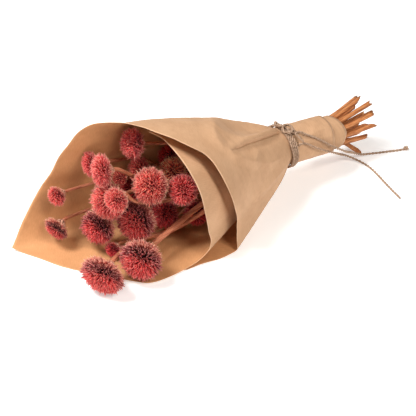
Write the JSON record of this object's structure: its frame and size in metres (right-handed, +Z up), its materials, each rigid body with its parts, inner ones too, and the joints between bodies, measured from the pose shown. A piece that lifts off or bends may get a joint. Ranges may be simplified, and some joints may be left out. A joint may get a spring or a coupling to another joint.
{
  "type": "dried flower bouquet",
  "caption": "Dried flower bouquet of small round bristly heads on bare stems, rolled in a flared kraft paper wrap and tied with twine, lying on its side.",
  "frame": {"origin": "middle of the bouquet's bounding box, without the two free ends of twine, on the surface it lies on", "axes": "+X from the open mouth of the wrap to the cut stems, +Z up from the surface"},
  "size_m": [0.3324, 0.143, 0.1065],
  "materials": {
    "kraft_paper": "matt, creased",
    "dried_bristles": "matt, bristly",
    "dried_stem": "matt",
    "jute_twine": "matt, hairy"
  },
  "bodies": {
    "root": {"paper_wrap": "kraft_paper", "twine_binding": "jute_twine", "twine_tail_short": "jute_twine", "twine_tail_long": "jute_twine", "head_01": "dried_bristles", "head_02": "dried_bristles", "head_03": "dried_bristles", "head_04": "dried_bristles", "head_05": "dried_bristles", "head_06": "dried_bristles", "head_07": "dried_bristles", "head_08": "dried_bristles", "head_09": "dried_bristles", "head_10": "dried_bristles", "head_11": "dried_bristles", "head_12": "dried_bristles", "head_13": "dried_bristles", "head_14": "dried_bristles", "head_15": "dried_bristles", "head_16": "dried_bristles", "head_17": "dried_bristles", "head_18": "dried_bristles", "head_19": "dried_bristles", "head_20": "dried_bristles", "head_21": "dried_bristles", "head_22": "dried_bristles", "stem_01": "dried_stem", "stem_02": "dried_stem", "stem_03": "dried_stem", "stem_04": "dried_stem", "stem_05": "dried_stem", "stem_06": "dried_stem", "stem_07": "dried_stem", "stem_08": "dried_stem", "stem_09": "dried_stem", "stem_10": "dried_stem", "stem_11": "dried_stem", "stem_12": "dried_stem", "stem_13": "dried_stem", "stem_14": "dried_stem", "stem_15": "dried_stem", "stem_16": "dried_stem", "stem_17": "dried_stem", "stem_18": "dried_stem", "stem_19": "dried_stem", "stem_20": "dried_stem", "stem_21": "dried_stem", "stem_22": "dried_stem"}
  },
  "joints": []
}
